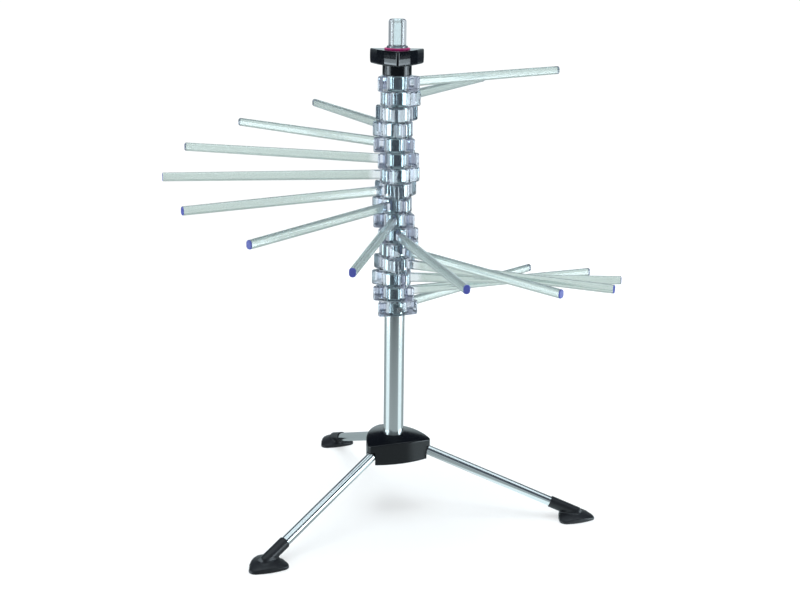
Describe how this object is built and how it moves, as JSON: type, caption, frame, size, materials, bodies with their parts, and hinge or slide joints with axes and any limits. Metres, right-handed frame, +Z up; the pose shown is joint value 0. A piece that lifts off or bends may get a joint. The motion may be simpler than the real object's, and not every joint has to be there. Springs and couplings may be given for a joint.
{
  "type": "pasta drying rack",
  "caption": "Tripod pasta drying rack: clear arms fan out in a spiral round a bright column, clamped by a lobed knob, with a clear wand standing in the column's top.",
  "frame": {"origin": "on the table, under the column's axis", "axes": "+Z up along the column, -Y towards the viewer of the picture, +X to the viewer's right"},
  "size_m": [0.44, 0.4392, 0.4877],
  "materials": {
    "clear_plastic": "clear moulded polycarbonate, polished",
    "bright_aluminium": "bright anodised",
    "black_gloss_plastic": "gloss moulded",
    "black_satin_plastic": "satin moulded",
    "steel": "zinc plated",
    "raspberry_silicone": "satin silicone"
  },
  "bodies": {
    "stand": {"column_tube": "bright_aluminium", "column_plug": "black_satin_plastic", "column_screw": "steel", "top_bush": "black_satin_plastic", "arm_screw": "steel", "arm_16": "clear_plastic", "tripod_hub": "black_gloss_plastic", "hub_cover": "black_satin_plastic", "cover_screws": "steel", "leg_pin_front": "steel", "leg_pin_right": "steel", "leg_pin_back": "steel"},
    "leg_front": {"leg_knuckle_front": "black_satin_plastic", "leg_tube_front": "bright_aluminium", "foot_front": "black_satin_plastic"},
    "leg_right": {"leg_knuckle_right": "black_satin_plastic", "leg_tube_right": "bright_aluminium", "foot_right": "black_satin_plastic"},
    "leg_back": {"leg_knuckle_back": "black_satin_plastic", "leg_tube_back": "bright_aluminium", "foot_back": "black_satin_plastic"},
    "arm_01": {"arm_01": "clear_plastic"},
    "arm_02": {"arm_02": "clear_plastic"},
    "arm_03": {"arm_03": "clear_plastic"},
    "arm_04": {"arm_04": "clear_plastic"},
    "arm_05": {"arm_05": "clear_plastic"},
    "arm_06": {"arm_06": "clear_plastic"},
    "arm_07": {"arm_07": "clear_plastic"},
    "arm_08": {"arm_08": "clear_plastic"},
    "arm_09": {"arm_09": "clear_plastic"},
    "arm_10": {"arm_10": "clear_plastic"},
    "arm_11": {"arm_11": "clear_plastic"},
    "arm_12": {"arm_12": "clear_plastic"},
    "arm_13": {"arm_13": "clear_plastic"},
    "arm_14": {"arm_14": "clear_plastic"},
    "arm_15": {"arm_15": "clear_plastic"},
    "seal": {"seal_ring": "raspberry_silicone"},
    "knob": {"clamp_knob": "black_gloss_plastic"},
    "wand": {"pasta_wand": "clear_plastic"}
  },
  "joints": [
    {"name": "arm_15_swing", "type": "hinge", "parent": "stand", "child": "arm_15", "pos_m": [0, 0, 0.22565], "axis": [0, 0, 1], "range_deg": [0, 24.5]},
    {"name": "arm_14_swing", "type": "hinge", "parent": "arm_15", "child": "arm_14", "pos_m": [0, 0, 0.24015], "axis": [0, 0, 1], "range_deg": [0, 24.5]},
    {"name": "arm_13_swing", "type": "hinge", "parent": "arm_14", "child": "arm_13", "pos_m": [0, 0, 0.25465], "axis": [0, 0, 1], "range_deg": [0, 24.5]},
    {"name": "arm_12_swing", "type": "hinge", "parent": "arm_13", "child": "arm_12", "pos_m": [0, 0, 0.26915], "axis": [0, 0, 1], "range_deg": [0, 24.5]},
    {"name": "arm_11_swing", "type": "hinge", "parent": "arm_12", "child": "arm_11", "pos_m": [0, 0, 0.28365], "axis": [0, 0, 1], "range_deg": [0, 24.5]},
    {"name": "arm_10_swing", "type": "hinge", "parent": "arm_11", "child": "arm_10", "pos_m": [0, 0, 0.29815], "axis": [0, 0, 1], "range_deg": [0, 24.5]},
    {"name": "arm_09_swing", "type": "hinge", "parent": "arm_10", "child": "arm_09", "pos_m": [0, 0, 0.31265], "axis": [0, 0, 1], "range_deg": [0, 24.5]},
    {"name": "arm_08_swing", "type": "hinge", "parent": "arm_09", "child": "arm_08", "pos_m": [0, 0, 0.32715], "axis": [0, 0, 1], "range_deg": [0, 24.5]},
    {"name": "arm_07_swing", "type": "hinge", "parent": "arm_08", "child": "arm_07", "pos_m": [0, 0, 0.34165], "axis": [0, 0, 1], "range_deg": [0, 24.5]},
    {"name": "arm_06_swing", "type": "hinge", "parent": "arm_07", "child": "arm_06", "pos_m": [0, 0, 0.35615], "axis": [0, 0, 1], "range_deg": [0, 24.5]},
    {"name": "arm_05_swing", "type": "hinge", "parent": "arm_06", "child": "arm_05", "pos_m": [0, 0, 0.37065], "axis": [0, 0, 1], "range_deg": [0, 24.5]},
    {"name": "arm_04_swing", "type": "hinge", "parent": "arm_05", "child": "arm_04", "pos_m": [0, 0, 0.38515], "axis": [0, 0, 1], "range_deg": [0, 24.5]},
    {"name": "arm_03_swing", "type": "hinge", "parent": "arm_04", "child": "arm_03", "pos_m": [0, 0, 0.39965], "axis": [0, 0, 1], "range_deg": [0, 24.5]},
    {"name": "arm_02_swing", "type": "hinge", "parent": "arm_03", "child": "arm_02", "pos_m": [0, 0, 0.41415], "axis": [0, 0, 1], "range_deg": [0, 24.5]},
    {"name": "arm_01_swing", "type": "hinge", "parent": "arm_02", "child": "arm_01", "pos_m": [0, 0, 0.42865], "axis": [0, 0, 1], "range_deg": [0, 24.5]},
    {"name": "leg_front_fold", "type": "hinge", "parent": "stand", "child": "leg_front", "pos_m": [-0.01692, -0.02104, 0.0654], "axis": [0.7793, -0.6266, 0], "range_deg": [0, 69.5]},
    {"name": "leg_right_fold", "type": "hinge", "parent": "stand", "child": "leg_right", "pos_m": [0.02668, -0.00413, 0.0654], "axis": [0.153, 0.9882, 0], "range_deg": [0, 69.5]},
    {"name": "leg_back_fold", "type": "hinge", "parent": "stand", "child": "leg_back", "pos_m": [-0.00976, 0.02517, 0.0654], "axis": [-0.9323, -0.3616, 0], "range_deg": [0, 69.5]},
    {"name": "knob_rise", "type": "slide", "parent": "stand", "child": "seal", "axis": [0, 0, 1], "range_m": [0, 0.0015]},
    {"name": "knob_turn", "type": "hinge", "parent": "seal", "child": "knob", "pos_m": [0, 0, 0.4479], "axis": [0, 0, 1], "range_deg": [0, 360]},
    {"name": "wand_lift", "type": "slide", "parent": "seal", "child": "wand", "axis": [0, 0, 1], "range_m": [0, 0.26]}
  ],
  "couplings": [
    {"joint": "knob_rise", "follows": "knob_turn", "m_per_rad": 0.00023873}
  ]
}
